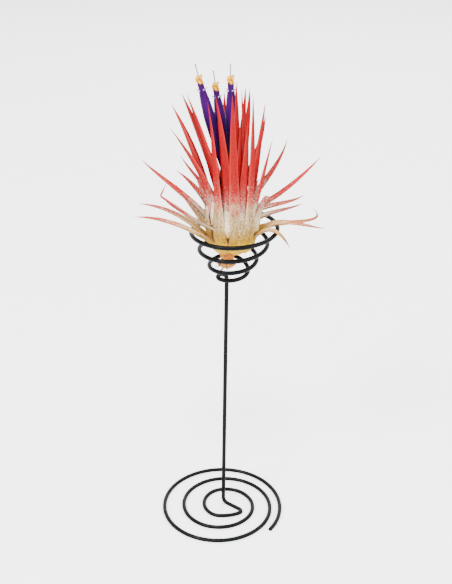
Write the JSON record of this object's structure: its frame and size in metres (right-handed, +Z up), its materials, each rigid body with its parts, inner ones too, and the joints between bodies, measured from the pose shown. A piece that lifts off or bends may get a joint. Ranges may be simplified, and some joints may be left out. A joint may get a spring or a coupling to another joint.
{
  "type": "air plant holder",
  "caption": "Bent wire stand with a flat spiral foot, an upright stem and a spiral cup, holding a flowering air plant that lifts out.",
  "frame": {"origin": "on the floor, under the middle of the whole object's box", "axes": "+Z up the stem, -Y towards the picture's viewer, +X to the viewer's right"},
  "size_m": [0.0836, 0.0603, 0.2243],
  "materials": {
    "wire": "satin black coating",
    "bulb": "matt sheath",
    "outer_leaves": "fine grey scales over pink to brown",
    "second_leaves": "fine pale scales over coral",
    "upper_leaves": "fine pale scales over red",
    "root": "rough brown",
    "dry_root": "dry and ragged",
    "petals": "soft sheen",
    "anthers": "powdery",
    "styles": "waxy"
  },
  "bodies": {
    "stand": {"wire_stand": "wire"},
    "plant": {"rosette_core": "bulb", "outer_leaf_01": "outer_leaves", "outer_leaf_02": "outer_leaves", "outer_leaf_03": "outer_leaves", "outer_leaf_04": "outer_leaves", "outer_leaf_05": "outer_leaves", "outer_leaf_06": "outer_leaves", "outer_leaf_07": "outer_leaves", "outer_leaf_08": "outer_leaves", "outer_leaf_09": "outer_leaves", "outer_leaf_10": "outer_leaves", "outer_leaf_11": "outer_leaves", "outer_leaf_12": "outer_leaves", "second_leaf_01": "second_leaves", "second_leaf_02": "second_leaves", "second_leaf_03": "second_leaves", "second_leaf_04": "second_leaves", "second_leaf_05": "second_leaves", "second_leaf_06": "second_leaves", "second_leaf_07": "second_leaves", "second_leaf_08": "second_leaves", "second_leaf_09": "second_leaves", "second_leaf_10": "second_leaves", "second_leaf_11": "second_leaves", "second_leaf_12": "second_leaves", "third_leaf_01": "upper_leaves", "third_leaf_02": "upper_leaves", "third_leaf_03": "upper_leaves", "third_leaf_04": "upper_leaves", "third_leaf_05": "upper_leaves", "third_leaf_06": "upper_leaves", "third_leaf_07": "upper_leaves", "third_leaf_08": "upper_leaves", "third_leaf_09": "upper_leaves", "third_leaf_10": "upper_leaves", "inner_leaf_01": "upper_leaves", "inner_leaf_02": "upper_leaves", "inner_leaf_03": "upper_leaves", "inner_leaf_04": "upper_leaves", "inner_leaf_05": "upper_leaves", "inner_leaf_06": "upper_leaves", "inner_leaf_07": "upper_leaves", "inner_leaf_08": "upper_leaves", "root_stub": "root", "root_tail": "dry_root", "dry_shoots": "dry_root", "flower_1_tube": "petals", "flower_1_stamens": "anthers", "flower_1_style": "styles", "flower_2_tube": "petals", "flower_2_stamens": "anthers", "flower_2_style": "styles", "flower_3_tube": "petals", "flower_3_stamens": "anthers", "flower_3_style": "styles"}
  },
  "joints": [
    {"name": "plant_lift", "type": "slide", "parent": "stand", "child": "plant", "axis": [0, 0, 1], "range_m": [0, 0.04]}
  ]
}
